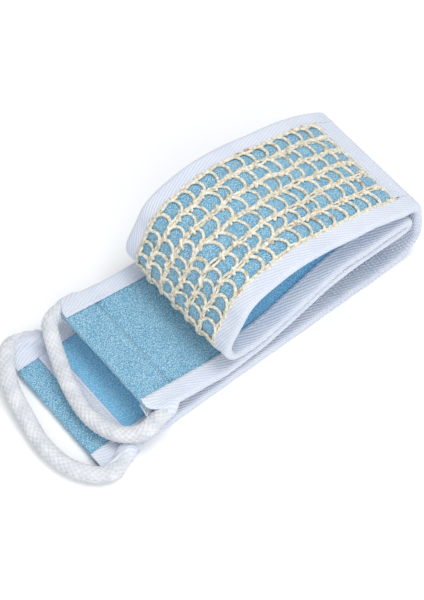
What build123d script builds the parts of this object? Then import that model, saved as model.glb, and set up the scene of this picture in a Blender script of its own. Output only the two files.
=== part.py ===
from build123d import *
from math import atan2, cos, hypot, pi, tan
import os

# Padded back-scrubbing strap with a rope handle at each end, folded for shelf display.
# The strap is folded in half, and the doubled strap is folded back over itself, so that
# four layers lie on top of each other beside the plain end tabs.
# Millimetres.  +X runs along the strap from the handles to the fold, +Y across it, +Z up.
# The origin is under the middle of the folded strap, on the surface it rests on.

# ---- driving dimensions: cloth -----------------------------------------------------------
strap_width = 95.0
cover_thickness = 1.2        # terry cloth, front and back
foam_thickness = 2.0
binding_thickness = 0.6      # twill tape folded over each long edge
binding_width = 12.5         # how far the tape reaches in from the edge, on each face
net_thickness = 1.6          # knotted sisal yarn
net_length = 232.0
tape_thickness = 0.6         # plain tape sewn across the strap
tape_width = 15.0
tape_overlap = 4.0           # of the net under its end tape
hem_length = 17.0            # front cloth turned over each short end
back_tape_start = 15.0       # from the strap's end, over the hem's raw edge
back_tape_width = 10.5
thread_width = 0.8
thread_depth = 0.3           # the seams are pulled into the cloth, so they lie flush
seam_inset = 1.8             # from the edge of the tape that the seam holds down
cloth_clearance = 0.4        # between folded layers

# ---- driving dimensions: rope and the pockets that hold it ---------------------------------
rope_diameter = 10.0
pocket_mouth = {"lower": 10.0, "upper": 0.0}    # from the strap's end
pocket_length = 20.0
pocket_bottom = 2.0          # tape closed over the rope's cut end
pocket_overhang = 3.1        # the pocket's outermost side, past the strap's long edge
swing_clearance = 0.3
tack_length = 8.0            # bar tack across the blind end of the pocket
tack_width = 2.5
tack_height = 0.5

# ---- driving dimensions: how the strap is folded -------------------------------------------
lower_run = 241.0            # lying flat, from the end to the outer fold
upper_end_x = 37.0           # the upper tab's end, measured from the lower one's
upper_end_z = 25.0           # the upper tab springs up a little
tab_dip = (93.0, 13.0)       # where the upper tab is lowest, just before the roll
inner_rise = (122.0, 15.5)   # the inner layer starts to climb
inner_crest = (176.0, 33.0)
inner_fold_drop = 1.5        # from the inner crest down to the inner fold
fold_nest_gap = 3.0          # between the inner and the outer fold
outer_tip_z = 44.5
roll_shoulder = (205.0, 62.0)
roll_crest = (147.0, 78.0)
roll_brow = (109.0, 72.0)
mid_fold_x = 91.5
mid_fold_z = 38.0
mid_fold_foot_x = 97.5
mid_fold_lift = 3.0          # of the fold's foot over the tab
outer_fold_radius = 20.0
outer_tip_radius = 9.0
mid_fold_radius = 15.0
mid_fold_foot_radius = 8.5
brow_radius = 24.0
gentle_radius = 60.0

# ---- worked out from them ------------------------------------------------------------------
core_thickness = 2 * cover_thickness + foam_thickness
edge_thickness = core_thickness + 2 * binding_thickness
face = core_thickness / 2
half_width = strap_width / 2
inner_half = half_width - binding_width
rope_radius = rope_diameter / 2
pocket_radius = rope_radius + binding_thickness
pocket_y = half_width + pocket_overhang - pocket_radius
pocket_offset = pocket_radius - edge_thickness / 2
tab_half = pocket_y - rope_radius - swing_clearance
centre_x = (lower_run + edge_thickness / 2) / 2


# ---- the strap's centre line, seen from the side ---------------------------------------------
def fold_route():
    """Corner points and radii of the centre line, from the lower end to the upper one."""
    rest_z = edge_thickness / 2
    climb = atan2(inner_crest[1] - inner_rise[1], inner_crest[0] - inner_rise[0])
    layer_gap = core_thickness + net_thickness + tape_thickness + cloth_clearance
    layer_drop = layer_gap / cos(climb)
    inner_fold_x = lower_run - edge_thickness - fold_nest_gap
    inner_fold_z = inner_crest[1] - inner_fold_drop
    return [
        ((0, rest_z), None),
        ((lower_run, rest_z), outer_fold_radius),
        ((lower_run, outer_tip_z), outer_tip_radius),
        (roll_shoulder, gentle_radius),
        (roll_crest, gentle_radius),
        (roll_brow, brow_radius),
        ((mid_fold_x, mid_fold_z), mid_fold_radius),
        ((mid_fold_foot_x, tab_dip[1] + layer_drop + mid_fold_lift), mid_fold_foot_radius),
        ((inner_rise[0], inner_rise[1] + layer_drop), gentle_radius),
        ((inner_crest[0], inner_crest[1] + layer_drop), gentle_radius),
        ((inner_fold_x, inner_fold_z + layer_drop), 0.499 * layer_drop),
        ((inner_fold_x, inner_fold_z), 0.499 * layer_drop),
        (inner_crest, gentle_radius),
        (inner_rise, gentle_radius),
        (tab_dip, gentle_radius),
        ((upper_end_x, upper_end_z), None),
    ]


route = fold_route()
centre_line = FilletPolyline(
    *[(x - centre_x, 0, z) for (x, z), _ in route],
    radius=[radius for _, radius in route[1:-1]],
)
strap_length = centre_line.length
net_start = (strap_length - net_length) / 2
print(f"strap length {strap_length:.1f} mm")


def offset_edge(edge, distance):
    """A line or arc beside one edge of the centre line, to the front face's side."""
    places = []
    for position in (0, 0.5, 1):
        tangent = edge % position
        places.append(edge @ position + Vector(tangent.Z, 0, -tangent.X) * distance)
    if edge.geom_type == GeomType.LINE:
        return Line(places[0], places[2])
    return ThreePointArc(*places)


def ribbon(low, high, start, end, y_from, y_to):
    """Cloth that follows the folds, between two offsets from the centre line."""
    run = centre_line.trim(start / strap_length, end / strap_length).order_edges()
    lower = [offset_edge(edge, low) for edge in run]
    upper = [offset_edge(edge, high) for edge in run]
    caps = [Line(lower[0] @ 0, upper[0] @ 0), Line(lower[-1] @ 1, upper[-1] @ 1)]
    outline = make_face(lower + upper + caps)
    cloth = extrude(outline, amount=y_to - y_from, dir=(0, 1, 0))
    return Pos(0, y_from, 0) * cloth


def pocket_axis(distance, end, side):
    """Place on a rope pocket's axis at a distance from the strap's end; +Z looks outwards."""
    share = distance / strap_length
    if end == "upper":
        share = 1 - share
    tangent = centre_line % share
    outwards = tangent if end == "upper" else tangent * -1
    to_back = Vector(-tangent.Z, 0, tangent.X)
    place = centre_line @ share + to_back * pocket_offset + Vector(0, side * pocket_y, 0)
    return Plane(origin=place, z_dir=outwards, x_dir=to_back)


# ---- rope pockets: the binding's ends, sewn round the rope's tails ---------------------------
ends = ("lower", "upper")
sides = {"near": -1, "far": 1}


def pocket_rod(radius, length, end, side):
    mouth = pocket_axis(pocket_mouth[end], end, side)
    return mouth * Pos(0, 0, -length / 2) * Cylinder(radius, length)


pockets = {
    (end, name): pocket_rod(pocket_radius, pocket_length, end, side)
    for end in ends
    for name, side in sides.items()
}
tails = {
    (end, name): pocket_rod(rope_radius, pocket_length - pocket_bottom, end, side)
    for end in ends
    for name, side in sides.items()
}


# ---- cloth panels ---------------------------------------------------------------------------
def corner_cut(side):
    """The lower end's corners are tucked in beside the mouths, where the rope comes out."""
    y_from, y_to = sorted((side * tab_half, side * strap_width))
    height = 2 * edge_thickness
    return ribbon(-height, height, 0, pocket_mouth["lower"], y_from, y_to)


corner_cuts = [corner_cut(side) for side in sides.values()]


def make_room(panel):
    """A core layer without the tucked corners and the space of the rope pockets."""
    for gap in [*corner_cuts, *pockets.values()]:
        panel -= gap
    return panel


panel_half = half_width - binding_thickness
back = -face
front_cover = ribbon(face - cover_thickness, face, 0, strap_length, -panel_half, panel_half)
for start, turn in ((0, cover_thickness), (strap_length, -cover_thickness)):
    first, last = sorted((start, start + turn))
    front_cover += ribbon(back, face, first, last, -panel_half, panel_half)
    first, last = sorted((start, start + (hem_length if turn > 0 else -hem_length)))
    front_cover += ribbon(back, back + cover_thickness, first, last, -panel_half, panel_half)
front_cover = make_room(front_cover)

back_cover = make_room(
    ribbon(
        back, back + cover_thickness,
        hem_length, strap_length - hem_length,
        -panel_half, panel_half,
    )
)
foam = make_room(
    ribbon(
        back + cover_thickness, face - cover_thickness,
        cover_thickness, strap_length - cover_thickness,
        -panel_half, panel_half,
    )
)


# ---- sisal net and the tapes across the strap -------------------------------------------------
net = ribbon(face, face + net_thickness, net_start, net_start + net_length, -inner_half, inner_half)


def net_end_tape(start):
    top = face + net_thickness + tape_thickness
    return ribbon(face, top, start, start + tape_width, -inner_half, inner_half) - net


def back_tape(start):
    end = start + back_tape_width
    return ribbon(back - tape_thickness, back, start, end, -inner_half, inner_half)


net_tape_starts = (net_start + tape_overlap - tape_width, net_start + net_length - tape_overlap)
back_tape_starts = (back_tape_start, strap_length - back_tape_start - back_tape_width)


# ---- seams: sewing thread lying flush in the cloth --------------------------------------------
def cross_seam(surface, middle):
    """A row of stitches across the strap, sunk below a face at an offset from the centre line."""
    low, high = sorted((surface, surface - thread_depth * (1 if surface > 0 else -1)))
    first = middle - thread_width / 2
    return ribbon(low, high, first, first + thread_width, -inner_half, inner_half)


def seam_rows(surface, starts, width):
    rows = []
    for start in starts:
        rows.append(cross_seam(surface, start + seam_inset))
        rows.append(cross_seam(surface, start + width - seam_inset))
    return rows


net_tape_seams = seam_rows(face + net_thickness + tape_thickness, net_tape_starts, tape_width)
back_tape_seams = seam_rows(back - tape_thickness, back_tape_starts, back_tape_width)
front_tab_seams = seam_rows(face, back_tape_starts, back_tape_width)


def edge_seams(side):
    """Long rows that hold the binding down, one on each face."""
    middle = side * (inner_half + seam_inset)
    rows = []
    for low in (edge_thickness / 2 - thread_depth, -edge_thickness / 2):
        rows.append(
            ribbon(
                low, low + thread_depth,
                pocket_mouth["lower"], strap_length,
                middle - thread_width / 2, middle + thread_width / 2,
            )
        )
    return rows


def cut_rows(piece, rows):
    for row in rows:
        piece -= row
    return piece


# ---- edge bindings ------------------------------------------------------------------------------
def edge_binding(name):
    side = sides[name]
    y_from, y_to = sorted((side * inner_half, side * half_width))
    start = pocket_mouth["lower"]
    binding = ribbon(-edge_thickness / 2, edge_thickness / 2, start, strap_length, y_from, y_to)
    y_from, y_to = sorted((side * inner_half, side * panel_half))
    binding -= ribbon(-face, face, start, strap_length, y_from, y_to)
    for end in ends:
        binding += pockets[end, name]
        binding -= tails[end, name]
    return cut_rows(binding, edge_seams(side))


def bar_tack(end, side):
    """A dense block of stitches on the back face, across the blind end of a pocket."""
    mouth = pocket_axis(pocket_mouth[end] + pocket_length + tack_width, end, side)
    to_surface = -pocket_offset + edge_thickness / 2 + tack_height / 2
    inwards = side * (pocket_y - half_width + tack_length / 2 + seam_inset)
    place = Location(mouth) * Pos(to_surface, 0, 0)
    block = place * Box(tack_height, tack_length, tack_width)
    return Pos(0, -inwards, 0) * block


# ---- rope handles ---------------------------------------------------------------------------------
def hinge_point(end, side):
    """The rope bends just outside the pocket's mouth."""
    mouth = pocket_axis(pocket_mouth[end], end, side)
    return mouth.origin + mouth.z_dir * (rope_radius + swing_clearance)


def bend_radii(points):
    """The largest arc that the two runs at each point allow."""
    radii = []
    for before, here, after in zip(points, points[1:], points[2:]):
        first, second = here - before, after - here
        turn = first.get_angle(second) * pi / 180
        radii.append(0.45 * min(first.length, second.length) / tan(turn / 2))
    return radii


def rope_loop(name, end, free_points):
    """The loop from the far pocket to the near one, with a round end in each mouth."""
    points = [hinge_point(end, 1)]
    points += [Vector(x - centre_x, y, z) for x, y, z in free_points]
    points.append(hinge_point(end, -1))
    radii = bend_radii(points)
    line = FilletPolyline(*points, radius=radii)
    loop = sweep(Plane(line @ 0, z_dir=line % 0) * Circle(rope_radius), path=line)
    print(f"{name} radii", [round(radius) for radius in radii])
    print(f"{name} length {line.length:.1f} mm, volume ratio",
          round(loop.volume / (pi * rope_radius**2 * line.length), 3))
    for point in (points[0], points[-1]):
        loop += Pos(point) * Sphere(rope_radius)
        print(f"{name} end", [round(value, 2) for value in point])
    return loop


upper_rope_points = [
    (27, 39, 20.5),
    (20.5, 25, 15.5),
    (16.5, 8, 12.2),
    (14, -8, 11.2),
    (14.2, -23, 11.3),
    (18, -36, 13),
    (25, -44, 17.5),
]
lower_rope_points = [
    (-3, 44, 8),
    (-10.5, 34, 9.5),
    (-14, 21, 7.5),
    (-16, 6, 5.3),
    (-17, -9, 5.1),
    (-15.5, -24, 5.1),
    (-11, -37.5, 5.1),
    (-4, -45, 5.2),
]

# ---- every piece in its own file ----------------------------------------------------------------
pieces = {
    "front_cover": cut_rows(front_cover, front_tab_seams),
    "back_cover": back_cover,
    "foam_interlining": foam,
    "sisal_net": net,
    "near_edge_binding": edge_binding("near"),
    "far_edge_binding": edge_binding("far"),
    "upper_rope_handle": rope_loop("upper rope", "upper", upper_rope_points),
    "lower_rope_handle": rope_loop("lower rope", "lower", lower_rope_points),
    "net_tape_seams": Compound(children=net_tape_seams),
    "back_tape_seams": Compound(children=back_tape_seams),
    "front_tab_seams": Compound(children=front_tab_seams),
}
for name, start in zip(("outer", "inner"), net_tape_starts):
    pieces[f"{name}_net_tape"] = cut_rows(net_end_tape(start), net_tape_seams)
for name, start in zip(ends, back_tape_starts):
    pieces[f"{name}_back_tape"] = cut_rows(back_tape(start), back_tape_seams)
for name, side in sides.items():
    pieces[f"{name}_binding_seams"] = Compound(children=edge_seams(side))
for (end, name), tail in tails.items():
    pieces[f"{end}_{name}_rope_tail"] = tail
    pieces[f"{end}_{name}_bar_tack"] = bar_tack(end, sides[name])

os.makedirs("parts", exist_ok=True)
for name, piece in pieces.items():
    piece.label = name
    export_step(piece, f"parts/{name}.step")
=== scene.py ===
# A padded bath strap for scrubbing the back, folded in four for the shelf: blue terry on a thin
# foam, a knotted sisal net sewn on one face, white twill binding and a cotton rope handle at
# each end.  Metres.  +X runs from the handles to the folds, +Y across the strap, +Z up.
import math
import random

import bpy
import numpy as np
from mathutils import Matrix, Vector, noise


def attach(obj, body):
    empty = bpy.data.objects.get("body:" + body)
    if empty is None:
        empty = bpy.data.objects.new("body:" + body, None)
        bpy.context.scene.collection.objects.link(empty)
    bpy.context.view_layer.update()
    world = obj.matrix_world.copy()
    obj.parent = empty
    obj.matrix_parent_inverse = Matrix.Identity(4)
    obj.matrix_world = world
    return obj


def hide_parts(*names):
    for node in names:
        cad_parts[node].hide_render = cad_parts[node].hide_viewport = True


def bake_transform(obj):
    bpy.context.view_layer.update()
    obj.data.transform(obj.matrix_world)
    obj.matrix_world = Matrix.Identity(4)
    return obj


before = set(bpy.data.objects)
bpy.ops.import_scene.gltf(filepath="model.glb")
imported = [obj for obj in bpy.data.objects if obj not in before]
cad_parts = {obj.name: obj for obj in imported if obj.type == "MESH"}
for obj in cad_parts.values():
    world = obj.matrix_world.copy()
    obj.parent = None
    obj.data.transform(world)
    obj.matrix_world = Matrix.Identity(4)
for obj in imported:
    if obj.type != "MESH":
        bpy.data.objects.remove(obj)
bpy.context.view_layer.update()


def towards(azimuth, elevation):
    """Direction from the strap to a place above it; azimuth 0 looks along +Y."""
    azimuth = math.radians(azimuth)
    elevation = math.radians(elevation)
    return Vector((
        math.sin(azimuth) * math.cos(elevation),
        -math.cos(azimuth) * math.cos(elevation),
        math.sin(elevation),
    ))


view_target = Vector((-0.0079, -0.0054, 0.0200))
view_direction = towards(-39.15, 58.13)
view_distance = 1.1823

camera_data = bpy.data.cameras.new("camera")
camera_data.lens = 120
camera_data.sensor_width = 36
camera_data.clip_start = 0.05
camera = bpy.data.objects.new("camera", camera_data)
camera.location = view_target + view_distance * view_direction
camera.rotation_euler = view_direction.to_track_quat("Z", "Y").to_euler()
bpy.context.collection.objects.link(camera)
bpy.context.scene.camera = camera
bpy.context.scene.view_settings.view_transform = "Standard"


lamp_distance = 1.6


def soft_lamp(name, direction, size, watts, colour):
    """A square lamp, facing the strap."""
    lamp_data = bpy.data.lights.new(name, "AREA")
    lamp_data.size = size
    lamp_data.energy = watts
    lamp_data.color = colour
    lamp = bpy.data.objects.new(name, lamp_data)
    lamp.location = lamp_distance * direction
    lamp.rotation_euler = direction.to_track_quat("Z", "Y").to_euler()
    bpy.context.collection.objects.link(lamp)


soft_lamp("key_lamp", towards(60, 78), 0.8, 11.5, (1.0, 0.985, 0.97))
soft_lamp("fill_lamp", towards(-25, 30), 1.6, 10.5, (0.98, 0.99, 1.0))

world = bpy.data.worlds.new("studio")
world.use_nodes = True
world.node_tree.nodes["Background"].inputs["Color"].default_value = (0.95, 0.98, 1.0, 1)
world.node_tree.nodes["Background"].inputs["Strength"].default_value = 0.66
bpy.context.scene.world = world


def new_material(name, colour, roughness, sheen=0.0):
    """A material and its shader, ready for the nodes of one finish."""
    material = bpy.data.materials.new(name)
    material.use_nodes = True
    shader = material.node_tree.nodes["Principled BSDF"]
    shader.inputs["Base Color"].default_value = (*colour, 1)
    shader.inputs["Roughness"].default_value = roughness
    shader.inputs["Sheen Weight"].default_value = sheen
    shader.inputs["Sheen Roughness"].default_value = 0.6
    shader.inputs["Specular IOR Level"].default_value = 0.25
    return material, material.node_tree, shader


def add_node(tree, kind, **settings):
    """A shader node with some of its settings or unlinked inputs filled in."""
    node = tree.nodes.new(kind)
    for name, value in settings.items():
        if hasattr(node, name):
            setattr(node, name, value)
        else:
            node.inputs[name.replace("_", " ")].default_value = value
    return node


def colour_range(tree, amount, dark, light, low=0.0, high=1.0):
    """Turns an amount into a colour between two, and returns the colour output."""
    ramp = add_node(tree, "ShaderNodeValToRGB")
    ramp.color_ramp.elements[0].position = low
    ramp.color_ramp.elements[1].position = high
    ramp.color_ramp.elements[0].color = (*dark, 1)
    ramp.color_ramp.elements[1].color = (*light, 1)
    tree.links.new(amount, ramp.inputs["Fac"])
    return ramp.outputs["Color"]


def multiplied(tree, colour, tint):
    """A colour multiplied by a tint, as a colour output."""
    mix = add_node(tree, "ShaderNodeMix", data_type="RGBA", blend_type="MULTIPLY")
    mix.inputs["Factor"].default_value = 1.0
    tree.links.new(colour, mix.inputs[6])
    tree.links.new(tint, mix.inputs[7])
    return mix.outputs[2]


def relief(tree, shader, height, depth, strength=1.0, under=None):
    """Roughens the surface by a height pattern, on top of another relief if one is given."""
    bump = add_node(tree, "ShaderNodeBump", Strength=strength, Distance=depth)
    tree.links.new(height, bump.inputs["Height"])
    if under is not None:
        tree.links.new(under.outputs["Normal"], bump.inputs["Normal"])
    tree.links.new(bump.outputs["Normal"], shader.inputs["Normal"])
    return bump


bpy.ops.object.select_all(action="DESELECT")
bpy.ops.mesh.primitive_plane_add(size=8)
table = bpy.context.object
table.name = "table"
table_finish, tree, shader = new_material("matt_table", (0.96, 0.96, 0.96), 0.8)
grain = add_node(tree, "ShaderNodeTexNoise", Scale=900.0, Detail=2.0)
place = add_node(tree, "ShaderNodeTexCoord")
tree.links.new(place.outputs["Object"], grain.inputs["Vector"])
relief(tree, shader, grain.outputs["Fac"], 0.00002)
table.data.materials.append(table_finish)

# ---- rope handles ------------------------------------------------------------------------
# Each handle is a 10 mm rope of soft white cotton, braided from sixteen flat strands over a
# core.  Its two cut ends are sewn into pockets at the corners of the strap's end.
strap_middle_x = 0.1219      # from the lower tab's end, where the routes are measured from
rope_diameter = 0.010
upper_rope = {
    "body": "upper_handle",
    "hinge": (-0.09067, 0.045, 0.02337),
    "mouth": (-0.08586, 0.045, 0.02146),
    "blind_end": (-0.0728, 0.045, 0.0195),
    "free": [
        (0.0305, 0.0455, 0.0240),
        (0.0240, 0.0310, 0.0185),
        (0.0175, 0.0130, 0.0140),
        (0.0135, -0.0040, 0.0122),
        (0.0120, -0.0210, 0.0120),
        (0.0165, -0.0370, 0.0128),
        (0.0270, -0.0480, 0.0160),
        (0.0380, -0.0485, 0.0200),
    ],
}
lower_rope = {
    "body": "lower_handle",
    "hinge": (-0.1172, 0.045, 0.0056),
    "mouth": (-0.1119, 0.045, 0.0056),
    "blind_end": (-0.0989, 0.045, 0.0056),
    "free": [
        (0.0090, 0.0530, 0.0090),
        (-0.0020, 0.0435, 0.0135),
        (-0.0110, 0.0270, 0.0105),
        (-0.0140, 0.0090, 0.0075),
        (-0.0175, -0.0100, 0.0054),
        (-0.0165, -0.0270, 0.0052),
        (-0.0115, -0.0400, 0.0052),
        (-0.0040, -0.0495, 0.0052),
        (0.0060, -0.0530, 0.0054),
        (0.0130, -0.0480, 0.0056),
    ],
}


def rope_route(name, rope):
    """The rope's line as a smooth curve, from one blind end to the other."""
    blind_end = Vector(rope["blind_end"])
    route = [blind_end]
    route += [Vector((x - strap_middle_x, y, z)) for x, y, z in rope["free"]]
    route.append(Vector((blind_end.x, -blind_end.y, blind_end.z)))
    curve = bpy.data.curves.new(name, "CURVE")
    curve.dimensions = "3D"
    curve.resolution_u = 24
    spline = curve.splines.new("NURBS")
    spline.points.add(len(route) - 1)
    for point, place in zip(spline.points, route):
        point.co = (*place, 1)
    spline.order_u = 3
    spline.use_endpoint_u = True
    return curve


def read_line(curve, step):
    """Evenly spaced points along a curve, read from the curve itself."""
    holder = bpy.data.objects.new(curve.name, curve)
    drawn = bpy.data.meshes.new_from_object(holder)
    points = np.array([vertex.co for vertex in drawn.vertices])
    bpy.data.objects.remove(holder)
    bpy.data.meshes.remove(drawn)
    gaps = np.linalg.norm(np.diff(points, axis=0), axis=1)
    distance = np.concatenate(([0], np.cumsum(gaps)))
    even = np.linspace(0, distance[-1], int(distance[-1] / step) + 1)
    return np.stack([np.interp(even, distance, axis) for axis in points.T], axis=1), even


def carried_frames(points):
    """Directions along a line, and two across it that don't twist from point to point."""
    along = np.gradient(points, axis=0)
    along /= np.linalg.norm(along, axis=1)[:, None]
    across = [np.cross(along[0], (0, 0, 1))]
    for direction in along[1:]:
        across.append(across[-1] - direction * np.dot(across[-1], direction))
        across[-1] /= np.linalg.norm(across[-1])
    across[0] /= np.linalg.norm(across[0])
    across = np.array(across)
    return along, across, np.cross(along, across)


class Skein:
    """A mesh in the making that holds many strands, with a map along and round each."""

    def __init__(self):
        self.points = []
        self.faces = []
        self.map = []

    def add_strand(self, line, outwards, width, thickness, sides, capped=True):
        """One strand of oval section; outwards tells which way its flat face looks."""
        first = len(self.points)
        along = np.gradient(line, axis=0)
        along /= np.linalg.norm(along, axis=1)[:, None]
        across = np.cross(along, outwards)
        across /= np.linalg.norm(across, axis=1)[:, None]
        outwards = np.cross(across, along)
        gaps = np.linalg.norm(np.diff(line, axis=0), axis=1)
        distance = np.concatenate(([0], np.cumsum(gaps)))
        turn = 2 * math.pi / sides
        for place, side, out, run in zip(line, across, outwards, distance):
            for number in range(sides):
                angle = number * turn
                sideways = side * (width / 2 * math.cos(angle))
                upwards = out * (thickness / 2 * math.sin(angle))
                self.points.append(place + (sideways + upwards))
        for ring in range(len(line) - 1):
            start = first + ring * sides
            for number in range(sides):
                after = (number + 1) % sides
                self.faces.append((start + number, start + after,
                                   start + sides + after, start + sides + number))
                u = (distance[ring], distance[ring + 1])
                v = (number * turn * width / 2, (number + 1) * turn * width / 2)
                self.map += [(u[0], v[0]), (u[0], v[1]), (u[1], v[1]), (u[1], v[0])]
        if capped:
            last = len(self.points) - sides
            for start, order in ((first, -1), (last, 1)):
                self.faces.append(tuple(start + number for number in range(sides))[::order])
                self.map += [(0, 0)] * sides

    def wind_up(self, name, material):
        """The finished object, smooth and with its map."""
        mesh = bpy.data.meshes.new(name)
        mesh.from_pydata([tuple(point) for point in self.points], [], self.faces)
        layer = mesh.uv_layers.new(name="strand")
        layer.data.foreach_set("uv", np.array(self.map, dtype=np.float32).ravel())
        mesh.materials.append(material)
        mesh.polygons.foreach_set("use_smooth", [True] * len(mesh.polygons))
        mesh.update()
        piece = bpy.data.objects.new(name, mesh)
        bpy.context.collection.objects.link(piece)
        return piece


def braid(name, rope, material):
    """Eight strands wound each way round the core, each passing over one and under one."""
    strands_each_way = 8
    lead = 0.030
    middle_radius = 0.0038
    swing = 0.0006
    strand_width = 0.0029
    strand_thickness = 0.0017
    core_diameter = 0.0068
    points, distance = read_line(rope_route(name, rope), 0.0009)
    along, across, other = carried_frames(points)
    skein = Skein()
    skein.add_strand(points, other, core_diameter, core_diameter, 14)
    turns = 2 * math.pi * distance / lead
    for way in (1, -1):
        radius = middle_radius + way * swing * np.cos(strands_each_way * turns)
        for number in range(strands_each_way):
            angle = way * turns + 2 * math.pi * number / strands_each_way
            outwards = across * np.cos(angle)[:, None] + other * np.sin(angle)[:, None]
            line = points + outwards * radius[:, None]
            skein.add_strand(line, outwards, strand_width, strand_thickness, 8)
    return skein.wind_up(name, material), distance[-1]


# Cotton: soft white, each strand a bundle of fine yarns that run at a slant along it.
rope_cotton, tree, shader = new_material("cotton_rope", (0.80, 0.79, 0.79), 0.85, 0.35)
place = add_node(tree, "ShaderNodeUVMap", uv_map="strand")
slant = add_node(tree, "ShaderNodeMapping")
slant.inputs["Rotation"].default_value = (0, 0, 0.35)
tree.links.new(place.outputs["UV"], slant.inputs["Vector"])
yarns = add_node(tree, "ShaderNodeTexWave", bands_direction="Y", Scale=520.0, Distortion=1.5)
yarns.inputs["Detail Scale"].default_value = 2.0
tree.links.new(slant.outputs["Vector"], yarns.inputs["Vector"])
body_place = add_node(tree, "ShaderNodeTexCoord")
fluff = add_node(tree, "ShaderNodeTexNoise", Scale=1400.0, Detail=3.0)
tree.links.new(body_place.outputs["Object"], fluff.inputs["Vector"])
under = relief(tree, shader, yarns.outputs["Fac"], 0.00012, 0.7)
relief(tree, shader, fluff.outputs["Fac"], 0.00012, 0.8, under)
# painted shade: the white cotton is tinted bluish grey, darker in soft blotches, like the shade on
# the rope
shade = add_node(tree, "ShaderNodeTexNoise", Scale=120.0, Detail=2.0)
tree.links.new(body_place.outputs["Object"], shade.inputs["Vector"])
tree.links.new(
    colour_range(tree, shade.outputs["Fac"], (0.62, 0.645, 0.69), (0.77, 0.78, 0.81), 0.35, 0.65),
    shader.inputs["Base Color"],
)

for end, rope in (("upper", upper_rope), ("lower", lower_rope)):
    handle, length = braid(f"{end}_rope", rope, rope_cotton)
    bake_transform(handle)
    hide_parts(f"{end}_rope_handle", f"{end}_near_rope_tail", f"{end}_far_rope_tail")
    [tuple(point) for point in read_line(rope_route(end, rope), 0.004)[0]]

# ---- front cover -------------------------------------------------------------------------
# One long panel of pale blue terry towelling.  It covers the strap's front face from end to
# end, turns under at both ends and is sewn down as a 17 mm hem on the back.
strap_width = 0.095
cover_thickness = 0.0012
face = 0.0022                # from the strap's middle to the outside of either cover
binding_thickness = 0.0006
binding_width = 0.0125
edge_face = face + binding_thickness
half_width = strap_width / 2
inner_half = half_width - binding_width
net_thickness = 0.0016
tape_thickness = 0.0006
layer_clearance = 0.0004
lower_run = 0.241
inner_crest = (0.176, 0.033)
inner_rise = (0.122, 0.0155)
inner_fold_x = lower_run - 2 * edge_face - 0.003
inner_fold_z = inner_crest[1] - 0.0015
climb = math.atan2(inner_crest[1] - inner_rise[1], inner_crest[0] - inner_rise[0])
layer_drop = (2 * face + net_thickness + tape_thickness + layer_clearance) / math.cos(climb)
fold_corners = [             # x, z and radius, from the lower tab's end to the upper one's
    (0.0, edge_face, 0),
    (lower_run, edge_face, 0.020),
    (lower_run, 0.0445, 0.009),
    (0.205, 0.062, 0.060),
    (0.147, 0.078, 0.060),
    (0.109, 0.072, 0.024),
    (0.0915, 0.038, 0.015),
    (0.0975, 0.016 + layer_drop, 0.0085),
    (inner_rise[0], inner_rise[1] + layer_drop, 0.060),
    (inner_crest[0], inner_crest[1] + layer_drop, 0.060),
    (inner_fold_x, inner_fold_z + layer_drop, 0.499 * layer_drop),
    (inner_fold_x, inner_fold_z, 0.499 * layer_drop),
    (*inner_crest, 0.060),
    (*inner_rise, 0.060),
    (0.093, 0.013, 0.060),
    (0.037, 0.025, 0),
]


def strap_headings():
    """How far along the strap each bend starts and ends, and which way it heads there."""
    distances = [0.0]
    headings = [0.0]
    setback = 0.0
    for before, here, after in zip(fold_corners, fold_corners[1:], fold_corners[2:]):
        run = math.dist(before[:2], here[:2])
        heading_in = math.atan2(here[1] - before[1], here[0] - before[0])
        heading_out = math.atan2(after[1] - here[1], after[0] - here[0])
        turn = (heading_out - heading_in + math.pi) % (2 * math.pi) - math.pi
        next_setback = here[2] * math.tan(abs(turn) / 2)
        distances.append(distances[-1] + run - setback - next_setback)
        headings.append(headings[-1])
        distances.append(distances[-1] + here[2] * abs(turn))
        headings.append(headings[-1] + turn)
        setback = next_setback
    last_run = math.dist(fold_corners[-2][:2], fold_corners[-1][:2])
    distances.append(distances[-1] + last_run - setback)
    headings.append(headings[-1])
    return distances, headings


bend_distances, bend_headings = strap_headings()
strap_length = bend_distances[-1]
line_distance = np.linspace(0, strap_length, 4001)
line_step = line_distance[1]
line_heading = np.interp(line_distance[:-1] + line_step / 2, bend_distances, bend_headings)
line_x = np.concatenate(([0], np.cumsum(np.cos(line_heading)))) * line_step - strap_middle_x
line_z = np.concatenate(([0], np.cumsum(np.sin(line_heading)))) * line_step + edge_face


def folded(points):
    """Where points of the flat strap go when it is folded: along, across and up to its front."""
    along, across, front = np.asarray(points).T
    heading = np.interp(along, bend_distances, bend_headings)
    x = np.interp(along, line_distance, line_x) + front * np.sin(heading)
    z = np.interp(along, line_distance, line_z) - front * np.cos(heading)
    return np.stack([x, across, z], axis=1)


def bump_between(value, low, high):
    """Rises smoothly from 0 to 1 between two values."""
    share = np.clip((value - low) / (high - low), 0, 1)
    return share * share * (3 - 2 * share)


def waviness(along, across, size, seed):
    """Soft random waves between -1 and 1, of about the given size."""
    places = zip(np.ravel(along) / size, np.ravel(across) / size)
    waves = [noise.noise(Vector((x, y, seed))) for x, y in places]
    return np.array(waves).reshape(np.shape(along))


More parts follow.
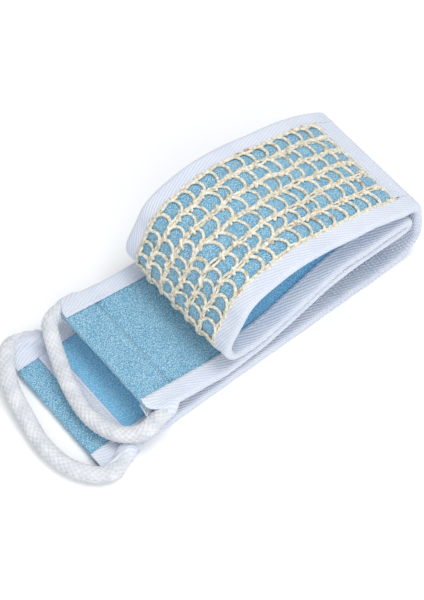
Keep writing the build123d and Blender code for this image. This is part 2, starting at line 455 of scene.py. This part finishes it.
def flat_cloth(name, length_steps, width_steps, shape, material):
    """A rectangle of cloth, shaped flat by a function and then folded with the strap.

    The function gets each point's share of the length and of the width, and returns its
    place on the flat strap and its place on the cloth's own map."""
    bpy.ops.object.select_all(action="DESELECT")
    bpy.ops.mesh.primitive_grid_add(
        x_subdivisions=length_steps, y_subdivisions=width_steps, size=1
    )
    cloth = bpy.context.object
    cloth.name = name
    mesh = cloth.data
    corners = np.empty(len(mesh.vertices) * 3)
    mesh.vertices.foreach_get("co", corners)
    shares = corners.reshape(-1, 3)[:, :2] + 0.5
    places, map_places = shape(shares[:, 0], shares[:, 1])
    mesh.vertices.foreach_set("co", folded(places).ravel())
    for layer in list(mesh.uv_layers):
        mesh.uv_layers.remove(layer)
    layer = mesh.uv_layers.new(name="cloth")
    loops = np.empty(len(mesh.loops), dtype=np.int32)
    mesh.loops.foreach_get("vertex_index", loops)
    layer.data.foreach_set("uv", map_places[loops].astype(np.float32).ravel())
    mesh.materials.append(material)
    mesh.polygons.foreach_set("use_smooth", [True] * len(mesh.polygons))
    mesh.update()
    return cloth


def thicken(cloth, thickness):
    """Gives cloth its thickness, inwards from the face that shows."""
    bpy.ops.object.select_all(action="DESELECT")
    cloth.select_set(True)
    bpy.context.view_layer.objects.active = cloth
    wall = cloth.modifiers.new("thickness", "SOLIDIFY")
    wall.thickness = thickness
    wall.offset = -1
    bpy.ops.object.modifier_apply(modifier=wall.name)


def terry(name, dark, light, shadow):
    """Terry towelling: tiny loops with the ground weave's shadow between them."""
    material, tree, shader = new_material(name, light, 0.9, 0.3)
    place = add_node(tree, "ShaderNodeUVMap", uv_map="cloth")
    loops = add_node(tree, "ShaderNodeTexVoronoi", Scale=1250.0, Randomness=0.75)
    tree.links.new(place.outputs["UV"], loops.inputs["Vector"])
    pile = add_node(tree, "ShaderNodeTexNoise", Scale=1400.0, Detail=1.0, Roughness=0.6)
    tree.links.new(place.outputs["UV"], pile.inputs["Vector"])
    patches = add_node(tree, "ShaderNodeTexNoise", Scale=70.0, Detail=3.0)
    tree.links.new(place.outputs["UV"], patches.inputs["Vector"])
    tone = colour_range(tree, pile.outputs["Fac"], dark, light, 0.42, 0.58)
    gaps = colour_range(tree, loops.outputs["Distance"], (1, 1, 1), shadow, 0.28, 0.68)
    wear = colour_range(tree, patches.outputs["Fac"], (0.90, 0.93, 0.95), (1, 1, 1), 0.35, 0.6)
    shaded = multiplied(tree, tone, gaps)
    tree.links.new(multiplied(tree, shaded, wear), shader.inputs["Base Color"])
    height = add_node(tree, "ShaderNodeMath", operation="MULTIPLY")
    height.inputs[1].default_value = -1.0
    tree.links.new(loops.outputs["Distance"], height.inputs[0])
    under = relief(tree, shader, height.outputs["Value"], 0.0005, 0.6)
    relief(tree, shader, pile.outputs["Fac"], 0.0006, 0.7, under)
    return material


hem_length = 0.017
panel_half = inner_half + 0.0085
tab_half = 0.0397
tucked_length = 0.010
tab_rows = (0.0168, 0.0237)      # the rows of stitches across each end tab
row_depths = (0.0005, 0.0017)    # and how deep and how wide each row dents the cloth
row_widths = (0.0010, 0.0015)
crown_height = 0.0006            # how far the cloth swells between its sewn edges
edge_sink = 0.0004
crease_height = 0.0004
pile_height = 0.00012
cloth_thickness = 0.8 * cover_thickness      # without the pile
front_terry = terry("pale_terry", (0.20, 0.43, 0.58), (0.58, 0.80, 0.91), (0.34, 0.58, 0.72))


def tuck_corners(along, across):
    """Draws the end corners in, where the rope comes out of its pockets."""
    from_end = np.minimum(along, strap_length - along)
    near_end = 1 - bump_between(from_end, 2 * tucked_length, 3 * tucked_length)
    limit = panel_half - (panel_half - tab_half) * near_end
    return across * limit / panel_half


def drawn_in(along, across):
    """How deep the rows of stitches pull the cloth in."""
    from_end = np.minimum(along, strap_length - along)
    from_end = from_end + 0.0008 * waviness(0 * along, across, 0.012, 33.0)
    dents = 0.0
    for row, depth, width in zip(tab_rows, row_depths, row_widths):
        dents = dents + depth * np.exp(-((from_end - row) / width) ** 2)
    return dents


def front_shape(length_share, width_share):
    """The panel runs straight, then turns round each end and comes back as the hem."""
    rounding = math.pi * face / 2
    straight = strap_length - 2 * face
    reach = straight + 2 * (2 * rounding + hem_length - face)
    spread = 2 * length_share - 1
    run = reach / 2 * spread * (1.3 - 0.3 * spread ** 2)      # finer steps at the end tabs
    past = np.abs(run) - straight / 2
    turned = np.clip(past / face, 0, math.pi)
    under = np.clip(past - math.pi * face, 0, None)
    end = np.sign(run)
    middle = strap_length / 2
    along = middle + end * (np.minimum(np.abs(run), straight / 2) + face * np.sin(turned) - under)
    across = (2 * width_share - 1) * panel_half
    crown = 1 - (np.abs(across) / inner_half).clip(0, 1) ** 4
    creases = waviness(along, across * 0.35, 0.016, 3.0) * crease_height
    fluff = waviness(along, across, 0.0017, 8.0) * pile_height
    swell = (crown_height * crown - edge_sink + creases * crown + fluff) * np.cos(turned)
    swell = swell - drawn_in(along, across) * (turned == 0)
    front = (face + swell) * np.cos(turned)
    front = np.where(turned >= math.pi, -face + 0.0001, front)
    across = tuck_corners(along, across)
    uneven = 0.0007 * waviness(0 * along, across, 0.008, 25.0)
    along = along + end * uneven * bump_between(past, -0.006, 0)
    return np.stack([along, across, front], axis=1), np.stack([run, across], axis=1)


front_cover = flat_cloth("front_terry", 700, 62, front_shape, front_terry)
front_cover.data.flip_normals()
thicken(front_cover, cloth_thickness)
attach(front_cover, "strap")
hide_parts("front_cover")

# ---- back cover --------------------------------------------------------------------------
# The same towelling in a deeper blue, sewn to the hems of the front cover.
back_crown_height = 0.0005
back_terry = terry("deep_terry", (0.24, 0.58, 0.83), (0.48, 0.79, 0.98), (0.48, 0.72, 0.84))


def back_shape(length_share, width_share):
    """The panel swells away from the foam, and sinks into the side seams."""
    along = hem_length + length_share * (strap_length - 2 * hem_length)
    across = (2 * width_share - 1) * panel_half
    crown = 1 - (np.abs(across) / inner_half).clip(0, 1) ** 4
    creases = waviness(along, across * 0.35, 0.016, 14.0) * crease_height
    fluff = waviness(along, across, 0.0017, 18.0) * pile_height
    swell = back_crown_height * crown - edge_sink + creases * crown + fluff
    return np.stack([along, across, -face - swell], axis=1), np.stack([along, across], axis=1)


back_cover = flat_cloth("back_terry", 480, 58, back_shape, back_terry)
thicken(back_cover, cloth_thickness)
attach(back_cover, "strap")
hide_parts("back_cover")

# ---- foam interlining --------------------------------------------------------------------
# A 2 mm sheet of soft polyurethane foam between the covers, caught in the side seams.
foam_thickness = 0.002
foam_margin = 0.0016             # from the covers' edges
foam_squeeze = 0.8               # how much of a dent in the cover presses into the foam
foam_rubber, tree, shader = new_material("foam", (0.82, 0.80, 0.70), 0.95)
place = add_node(tree, "ShaderNodeUVMap", uv_map="cloth")
cells = add_node(tree, "ShaderNodeTexVoronoi", Scale=1800.0)
tree.links.new(place.outputs["UV"], cells.inputs["Vector"])
relief(tree, shader, cells.outputs["Distance"], 0.0003)


def foam_shape(length_share, width_share):
    """The front face of the sheet, which is dented where the covers are sewn through it."""
    along = foam_margin + length_share * (strap_length - 2 * foam_margin)
    across = (2 * width_share - 1) * (panel_half - foam_margin)
    front = foam_thickness / 2 - foam_squeeze * drawn_in(along, across)
    across = tuck_corners(along, across)
    return np.stack([along, across, front], axis=1), np.stack([along, across], axis=1)


foam = flat_cloth("foam_sheet", 320, 20, foam_shape, foam_rubber)
foam.data.flip_normals()
thicken(foam, foam_thickness)
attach(foam, "strap")
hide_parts("foam_interlining")

# ---- edge bindings -----------------------------------------------------------------------
# White cotton twill tape folded over each long edge and sewn down on both faces.  Its ends are
# doubled round the rope's tails, and it puckers where the folds press its inside together.
pocket_radius = rope_diameter / 2 + binding_thickness + 0.0003
pocket_length = 0.020
pocket_narrows = (0.7 * pocket_length, 1.05 * pocket_length)     # inwards from its mouth
twill_width = 0.028              # of the weave's pattern, across the tape
flap_share = 0.3                 # of the tape's width, on each face of the strap
pocket_wrap = 1.5 * math.pi      # how far the tape turns round the rope
fold_inside = (0.150, 0.288)     # along the strap, where the lowest layer turns up and over
fold_crest = (bend_distances[3] + bend_distances[4]) / 2
pucker_pitch = 0.0027
pucker_depth = 0.0009
pucker_lean = 260                # radians for each metre across
plain_ripple = 0.00006           # the depth of the ripple elsewhere
lower_mouth_slant = 0.0160       # how much further in a pocket's outer side starts
upper_mouth_slant = {-1: 0.0090, 1: 0.0035}      # on the near and on the far side
slant_fades = 0.030              # the length of tape that the slanted cut draws in
rim_length = 0.002               # the last of the tape, which grips the rope
rim_narrowing = 0.16
gathers_round = 13
gather_depth = 0.0003
gather_length = 0.014
crest_tuck = 0.0022              # how far the edge is pulled in where the strap turns over
crest_reach = 0.011


def rope_in_pocket(end, rope, side):
    """The rope's middle line near a pocket: distance in from the strap's end, distance across
    and height over the strap's middle."""
    last = strap_length if end == "upper" else 0.0
    inner = last + pocket_length * (-1 if end == "upper" else 1)
    corner, inside, above = folded([(last, 0, 0), (inner, 0, 0), (last, 0, pocket_length)])
    line = read_line(rope_route(end, rope), 0.001)[0][::side][:40][::-1]
    inwards = (line - corner) @ (inside - corner) / pocket_length
    front = (line - corner) @ (above - corner) / pocket_length
    return inwards, np.abs(line[:, 1]), front


def binding_parts(share):
    """How much of the front flap, the rounded edge and the back flap lies before a share of the
    tape's width."""
    front_share = np.clip(share / flap_share, 0, 1)
    round_share = np.clip((share - flap_share) / (1 - 2 * flap_share), 0, 1)
    back_share = np.clip((share - (1 - flap_share)) / flap_share, 0, 1)
    return front_share, round_share, back_share


def binding_section(share, bulge, rope_y, rope_front, radius):
    """Distance across the strap and height over its middle, from the front edge round to the
    back one: a flat fold where bulge is 0, and a tube round the rope where it is 1."""
    flat_part = (half_width - edge_face) - inner_half
    front_share, round_share, back_share = binding_parts(share)
    plain_angle = math.pi * (0.5 - round_share)
    plain_y = inner_half + flat_part * (front_share - back_share) + edge_face * np.cos(plain_angle)
    plain_front = edge_face * np.sin(plain_angle)
    tube_angle = math.pi / 2 - pocket_wrap * round_share
    rim_y = rope_y + radius * np.cos(tube_angle)
    rim_front = rope_front + radius * np.sin(tube_angle)
    tube_y = inner_half + (rim_y - inner_half) * front_share * (1 - back_share)
    tube_front = rim_front + (1 - front_share) * (edge_face - rim_front)
    tube_front = tube_front - back_share * (edge_face + rim_front)
    y = plain_y + bulge * (tube_y - plain_y)
    front = plain_front + bulge * (tube_front - plain_front)
    return y, front


def mouth_slanting(share):
    """How far, from 0 to 1, each thread of the binding stops short of the strap's end."""
    front_share, round_share, back_share = binding_parts(share)
    tube_angle = math.pi / 2 - pocket_wrap * round_share
    outwards = np.cos(tube_angle) - 1.5 * (1 - front_share) - back_share
    return bump_between(outwards, -1, 0.4)


def binding_shape(side, seed):
    """The shape of one binding: side is -1 for the near edge and 1 for the far one."""
    lower_line = rope_in_pocket("lower", lower_rope, side)
    upper_line = rope_in_pocket("upper", upper_rope, side)

    def shape(length_share, width_share):
        cloth_run = length_share * strap_length
        cloth_end = np.minimum(cloth_run, strap_length - cloth_run)
        slanting = mouth_slanting(width_share)
        near_lower = 1 - bump_between(cloth_run, 0, slant_fades)
        near_upper = 1 - bump_between(strap_length - cloth_run, 0, slant_fades)
        along = cloth_run + lower_mouth_slant * slanting * near_lower
        along = along - upper_mouth_slant[side] * slanting * near_upper
        from_upper_end = strap_length - along
        from_lower_mouth = along - tucked_length
        lower_bulge = 1 - bump_between(from_lower_mouth, *pocket_narrows)
        upper_bulge = 1 - bump_between(from_upper_end, *pocket_narrows)
        bulge = np.maximum(lower_bulge, upper_bulge)
        rope_y, rope_front = [
            np.where(
                along < from_upper_end,
                np.interp(along, lower_line[0], lower_line[axis]),
                np.interp(from_upper_end, upper_line[0], upper_line[axis]),
            )
            for axis in (1, 2)
        ]
        near_mouth = 1 - bump_between(cloth_end, 0, gather_length)
        lean = 3 * waviness(along, 0 * along, 0.01, seed)
        gathers = np.sin(2 * math.pi * gathers_round * width_share + lean)
        rim = 1 - bump_between(cloth_end, 0, rim_length)
        radius = pocket_radius * (1 - rim_narrowing * rim)
        radius = radius + gather_depth * gathers * near_mouth
        y, front = binding_section(width_share, bulge, rope_y, rope_front, radius)
        outer = bump_between(y, inner_half + 0.001, half_width - 0.002)
        inside = bump_between(width_share, 0.25, 0.55)
        pressed = bump_between(along, fold_inside[0], fold_inside[0] + 0.035)
        pressed *= 1 - bump_between(along, fold_inside[1] - 0.02, fold_inside[1])
        jitter = waviness(along, y, 0.009, seed)
        puckers = np.sin(2 * math.pi * along / pucker_pitch + 2.5 * jitter + pucker_lean * y)
        depth = plain_ripple + pucker_depth * pressed * inside
        depth = depth * (1 - bulge) * (0.7 + 0.5 * waviness(along, y, 0.02, seed + 5))
        swell = 0.00025 * waviness(along, y, 0.012, seed + 9) * (1 - bulge)
        facing = np.sign(0.5 - width_share) * bump_between(np.abs(width_share - 0.5), 0.0, 0.2)
        front = front + facing * (depth * puckers + swell)
        y = y + outer * (0.0005 * waviness(along, 0 * y, 0.018, seed + 2) + 0.8 * depth * puckers)
        y = y - crest_tuck * outer * np.exp(-((along - fold_crest) / crest_reach) ** 2)
        tape_map = np.stack([cloth_run, width_share * twill_width], axis=1)
        return np.stack([along, side * y, front], axis=1), tape_map
    return shape


# Twill: fine ribs that run at a slant along the tape, crossed by finer threads, with painted
# shade that makes it a little greyer between the ribs.
twill, tree, shader = new_material("white_twill", (0.72, 0.755, 0.84), 0.8, 0.25)
place = add_node(tree, "ShaderNodeUVMap", uv_map="cloth")
slant = add_node(tree, "ShaderNodeMapping")
slant.inputs["Rotation"].default_value = (0, 0, math.radians(20))
tree.links.new(place.outputs["UV"], slant.inputs["Vector"])
ribs = add_node(tree, "ShaderNodeTexWave", bands_direction="Y", Scale=200.0, Distortion=1.6)
ribs.inputs["Detail Scale"].default_value = 1.0
tree.links.new(slant.outputs["Vector"], ribs.inputs["Vector"])
threads = add_node(tree, "ShaderNodeTexWave", bands_direction="X", Scale=270.0, Distortion=0.7)
tree.links.new(place.outputs["UV"], threads.inputs["Vector"])
patches = add_node(tree, "ShaderNodeTexNoise", Scale=55.0, Detail=3.0)
tree.links.new(place.outputs["UV"], patches.inputs["Vector"])
weave = add_node(tree, "ShaderNodeMath", operation="MULTIPLY_ADD")
weave.inputs[1].default_value = 0.5
tree.links.new(threads.outputs["Fac"], weave.inputs[0])
tree.links.new(ribs.outputs["Fac"], weave.inputs[2])
# painted shade: the tape's colour darkens where the ribs and threads dip, in the grooves between
# them
tone = colour_range(
    tree, weave.outputs["Value"], (0.59, 0.635, 0.74), (0.735, 0.77, 0.85), 0.0, 0.9
)
wear = colour_range(tree, patches.outputs["Fac"], (0.94, 0.955, 0.99), (1, 1, 1), 0.38, 0.6)
tree.links.new(multiplied(tree, tone, wear), shader.inputs["Base Color"])
under = relief(tree, shader, ribs.outputs["Fac"], 0.0003, 0.8)
relief(tree, shader, threads.outputs["Fac"], 0.00016, 0.6, under)

for name, side, seed in (("near", -1, 21.0), ("far", 1, 41.0)):
    binding = flat_cloth(f"{name}_binding", 1560, 27, binding_shape(side, seed), twill)
    if side > 0:
        binding.data.flip_normals()
    thicken(binding, binding_thickness)
    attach(binding, "strap")
    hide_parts(f"{name}_edge_binding")

# ---- sisal net ---------------------------------------------------------------------------
# An openwork net of natural sisal yarn, knotted by hand.  Pairs of yarns twist along the strap,
# and single curved yarns bridge from each pair to the next.  A hitch ties them at each crossing,
# except along the two sides.
net_length = 0.232
net_start = (strap_length - net_length) / 2
openings_across = 6
openings_along = 25
net_pitch = net_length / openings_along
net_width = 2 * (inner_half + 0.0008)      # its edges go just under the bindings
yarn_width = 0.0021
yarn_level = face + 0.0009
knot_wander = 0.0013             # how far a hitch may lie from its even place
edge_wander = 0.0003
hand = random.Random(7)


def knot_places():
    """Where the hitches sit on the flat strap: one list for each twisted pair."""
    rows = []
    for row in range(openings_across + 1):
        drift = hand.uniform(-0.001, 0.001)
        at_edge = row in (0, openings_across)
        row_places = []
        for number in range(openings_along + 1):
            along = net_start + number * net_pitch + drift
            along += hand.uniform(-knot_wander, knot_wander)
            along = min(max(along, net_start + 0.001), net_start + net_length - 0.001)
            wander = edge_wander if at_edge else knot_wander
            across = (row / openings_across - 0.5) * net_width + hand.uniform(-wander, wander)
            row_places.append((along, across))
        rows.append(row_places)
    return rows


def lay_yarn(skein, points, width, sides=6):
    """A round yarn through points of the flat strap, folded with it.  The tapes and bindings
    press the net flat along its border."""
    points = np.array(points)
    from_end = np.minimum(points[:, 0] - net_start, net_start + net_length - points[:, 0])
    from_side = net_width / 2 - np.abs(points[:, 1])
    pressed = 1 - 0.75 * (1 - bump_between(from_end, 0.003, 0.007))
    pressed *= 1 - 0.6 * (1 - bump_between(from_side, 0.0, 0.002))
    points[:, 2] = face + (points[:, 2] - face) * pressed
    line = folded(points)
    lifted = folded(np.asarray(points) + (0, 0, 0.001))
    skein.add_strand(line, lifted - line, width, 0.92 * width, sides)


def twisted_pair(skein, knots):
    """Two yarns that cross at each hitch and bow apart between, round a small eye."""
    steps = 9
    for way in (1, -1):
        points = []
        for number, (here, after) in enumerate(zip(knots, knots[1:])):
            bow = way * (-1) ** number * hand.uniform(0.0002, 0.0015)
            for step in range(steps):
                share = step / steps
                along = here[0] + share * (after[0] - here[0])
                across = here[1] + share * (after[1] - here[1]) + bow * math.sin(math.pi * share)
                rise = way * (-1) ** number * 0.0004 * math.cos(math.pi * share)
                points.append((along, across, yarn_level + 0.0002 + rise))
        points.append((*knots[-1], yarn_level))
        lay_yarn(skein, points, yarn_width * hand.uniform(0.75, 0.95))


def bridge(skein, start, end):
    """A yarn bowed like a C from one pair to the next, hooked over both."""
    bow = hand.uniform(0.0036, 0.0056)
    reach = math.radians(hand.uniform(104, 122))
    middle = ((start[0] + end[0]) / 2, (start[1] + end[1]) / 2)
    skew = (end[0] - start[0]) / 2
    half = (end[1] - start[1]) / 2 - 0.0002
    points = []
    for step in range(13):
        angle = reach * (step / 6 - 1)
        along = middle[0] + skew * math.sin(angle) - bow * math.cos(angle)
        across = middle[1] + half * math.sin(angle)
        over = abs(math.sin(angle)) ** 6
        points.append((along, across, yarn_level - 0.0001 + 0.0010 * over))
    lay_yarn(skein, points, yarn_width * hand.uniform(0.9, 1.15))


def hitch(skein, place):
    """One turn of yarn that ties the bridges to the pair."""
    points = []
    slant = hand.uniform(-0.0020, 0.0020)
    width = hand.uniform(0.0014, 0.0025)
    for step in range(9):
        angle = 2 * math.pi * step / 8
        along = place[0] + slant * math.cos(angle) + 0.0010 * (step / 8 - 0.5)
        across = place[1] + width * math.cos(angle)
        points.append((along, across, yarn_level + 0.0003 + 0.0010 * math.sin(angle)))
    lay_yarn(skein, points, hand.uniform(0.8, 1.1) * yarn_width, 5)


# Sisal: straw yarn, twisted, with darker streaks and a few brown flecks of bark in the fibre.
sisal, tree, shader = new_material("sisal", (0.72, 0.64, 0.47), 0.75, 0.1)
body_place = add_node(tree, "ShaderNodeTexCoord")
strand_place = add_node(tree, "ShaderNodeUVMap", uv_map="strand")
slant = add_node(tree, "ShaderNodeMapping")
slant.inputs["Rotation"].default_value = (0, 0, 0.9)
tree.links.new(strand_place.outputs["UV"], slant.inputs["Vector"])
plies = add_node(tree, "ShaderNodeTexWave", bands_direction="X", Scale=190.0, Distortion=1.2)
tree.links.new(slant.outputs["Vector"], plies.inputs["Vector"])
streaks = add_node(tree, "ShaderNodeTexNoise", Scale=480.0, Detail=4.0, Roughness=0.65)
tree.links.new(body_place.outputs["Object"], streaks.inputs["Vector"])
flecks = add_node(tree, "ShaderNodeTexNoise", Scale=210.0, Detail=2.0)
tree.links.new(body_place.outputs["Object"], flecks.inputs["Vector"])
straw = colour_range(
    tree, streaks.outputs["Fac"], (0.53, 0.47, 0.34), (0.86, 0.82, 0.71), 0.36, 0.58
)
bark = colour_range(tree, flecks.outputs["Fac"], (0.62, 0.42, 0.28), (1, 1, 1), 0.27, 0.36)
tree.links.new(multiplied(tree, straw, bark), shader.inputs["Base Color"])
under = relief(tree, shader, plies.outputs["Fac"], 0.0003, 0.7)
relief(tree, shader, streaks.outputs["Fac"], 0.0003, 0.6, under)

skein = Skein()
knots = knot_places()
for row in knots:
    twisted_pair(skein, row)
for row in knots[1:-1]:
    for place in row:
        hitch(skein, place)
for row, next_row in zip(knots, knots[1:]):
    for start, end in zip(row[1:], next_row[1:]):
        bridge(skein, start, end)
net = skein.wind_up("sisal_netting", sisal)
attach(net, "strap")
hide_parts("sisal_net")

# ---- tapes across the strap --------------------------------------------------------------
# White twill tape, sewn across the strap with two rows of stitches: 15 mm wide over each end of
# the net, and 10.5 mm wide over the raw edge of each hem on the back.
tape_width = 0.015
tape_overlap = 0.004
back_tape_width = 0.0105
back_tape_start = 0.015
net_lift = 0.55 * net_thickness      # how far the net holds a tape up
net_tape_starts = {
    "outer": net_start + tape_overlap - tape_width,
    "inner": net_start + net_length - tape_overlap,
}
back_tape_starts = {
    "lower": back_tape_start,
    "upper": strap_length - back_tape_start - back_tape_width,
}


def tape_over_net(start):
    """The shape of a tape that lies partly on the net and partly on the terry beside it."""
    def shape(length_share, width_share):
        along = start + length_share * tape_width
        across = (2 * width_share - 1) * inner_half
        from_net_end = np.maximum(net_start - along, along - net_start - net_length)
        on_net = bump_between(from_net_end, -tape_overlap, 0.0012 - tape_overlap)
        on_net *= 1 - bump_between(from_net_end, 0.0005, 0.003)
        lumps = 0.0003 * waviness(along, across, 0.005, 61.0)
        front = edge_face + 0.0001 + net_lift * on_net + lumps * on_net
        return np.stack([along, across, front], axis=1), np.stack([along, across], axis=1)
    return shape


def tape_on_back(start):
    """The shape of a tape that lies flat on the back of the strap."""
    def shape(length_share, width_share):
        along = start + length_share * back_tape_width
        across = (2 * width_share - 1) * inner_half
        lumps = 0.0002 * waviness(along, across, 0.008, 71.0)
        front = -edge_face - 0.0003 - lumps
        return np.stack([along, across, front], axis=1), np.stack([along, across], axis=1)
    return shape


for end, start in net_tape_starts.items():
    tape = flat_cloth(f"{end}_net_binding", 16, 72, tape_over_net(start), twill)
    tape.data.flip_normals()
    thicken(tape, tape_thickness)
    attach(tape, "strap")
    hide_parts(f"{end}_net_tape")
for end, start in back_tape_starts.items():
    tape = flat_cloth(f"{end}_hem_tape", 16, 72, tape_on_back(start), twill)
    thicken(tape, tape_thickness)
    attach(tape, "strap")
    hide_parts(f"{end}_back_tape")

# ---- seams -------------------------------------------------------------------------------
# Lockstitch in polyester thread, about eight stitches in 25 mm, pulled into the cloth.  The
# thread is white, but for the blue rows that show on the front of the end tabs.
thread_width = 0.0006
stitch_pitch = 0.0031
stitch_length = 0.0025
stitch_sink = 0.0003             # how deep its ends are pulled into the cloth
seam_inset = 0.0018


def sewing_thread(name, colour):
    """Glossy twisted thread."""
    material, tree, shader = new_material(name, colour, 0.5, 0.2)
    place = add_node(tree, "ShaderNodeUVMap", uv_map="strand")
    slant = add_node(tree, "ShaderNodeMapping")
    slant.inputs["Rotation"].default_value = (0, 0, 0.8)
    tree.links.new(place.outputs["UV"], slant.inputs["Vector"])
    plies = add_node(tree, "ShaderNodeTexWave", bands_direction="X", Scale=600.0)
    tree.links.new(slant.outputs["Vector"], plies.inputs["Vector"])
    relief(tree, shader, plies.outputs["Fac"], 0.0001)
    return material


white_thread = sewing_thread("white_thread", (0.72, 0.74, 0.81))
blue_thread = sewing_thread("blue_thread", (0.33, 0.56, 0.70))


def stitch(skein, start, end, side):
    """One stitch between two points of the flat strap, its ends pulled into the cloth."""
    start = np.array(start)
    end = np.array(end)
    points = []
    for share in (0, 0.2, 0.8, 1):
        sunk = stitch_sink if share in (0, 1) else 0
        points.append(start + share * (end - start) - (0, 0, side * sunk))
    line = folded(points)
    lifted = folded(np.array(points) + (0, 0, 0.001))
    skein.add_strand(line, lifted - line, thread_width, thread_width, 5, capped=False)


def long_seam(skein, across, front, side):
    """A row along the strap."""
    first = tucked_length + 0.002
    for number in range(int((strap_length - first - 0.001) / stitch_pitch)):
        along = first + number * stitch_pitch
        stitch(skein, (along, across, front), (along + stitch_length, across, front), side)


def cross_seam(skein, along, front, side):
    """A row across the strap, between the bindings."""
    reach = inner_half - 0.0008
    for number in range(int(2 * reach / stitch_pitch)):
        across = -reach + number * stitch_pitch
        stitch(skein, (along, across, front), (along, across + stitch_length, front), side)


def sewn(skein, name, node, thread):
    """The stitches of a skein, as a finished piece of the strap."""
    piece = skein.wind_up(name, thread)
    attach(piece, "strap")
    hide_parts(node)


for name, side in (("near", -1), ("far", 1)):
    skein = Skein()
    across = side * (inner_half + seam_inset)
    for face_side in (1, -1):
        long_seam(skein, across, face_side * (edge_face + 0.0001), face_side)
    sewn(skein, f"{name}_edge_stitches", f"{name}_binding_seams", white_thread)

skein = Skein()
for end, start in net_tape_starts.items():
    beyond = edge_face + 0.0003
    on_net = beyond + net_lift
    levels = (beyond, on_net) if end == "outer" else (on_net, beyond)
    cross_seam(skein, start + seam_inset, levels[0], 1)
    cross_seam(skein, start + tape_width - seam_inset, levels[1], 1)
sewn(skein, "net_tape_stitches", "net_tape_seams", white_thread)

back_skein = Skein()
tab_skein = Skein()
for start in back_tape_starts.values():
    for along in (start + seam_inset, start + back_tape_width - seam_inset):
        cross_seam(back_skein, along, -edge_face - 0.0004, -1)
        cross_seam(tab_skein, along, face - 0.0011, 1)
sewn(back_skein, "hem_tape_stitches", "back_tape_seams", white_thread)
sewn(tab_skein, "tab_stitches", "front_tab_seams", blue_thread)

# ---- bar tacks ---------------------------------------------------------------------------
# A close block of satin stitches, 8 mm by 2.5 mm, locks each rope pocket at its blind end.
tack_width = 0.0025
tack_stitches = 13
tack_middle = 0.0417         # across the strap
tack_spacing = 0.0006
for end in ("lower", "upper"):
    for name, side in (("near", -1), ("far", 1)):
        skein = Skein()
        from_mouth = pocket_length + tack_width
        along = tucked_length + from_mouth if end == "lower" else strap_length - from_mouth
        for number in range(tack_stitches):
            across = side * (tack_middle + (number - (tack_stitches - 1) / 2) * tack_spacing)
            shift = 0.0002 * (-1) ** number
            level = -edge_face - 0.0002
            stitch(
                skein,
                (along - tack_width / 2 + shift, across, level),
                (along + tack_width / 2 + shift, across, level),
                -1,
            )
        sewn(skein, f"{end}_{name}_satin_tack", f"{end}_{name}_bar_tack", white_thread)
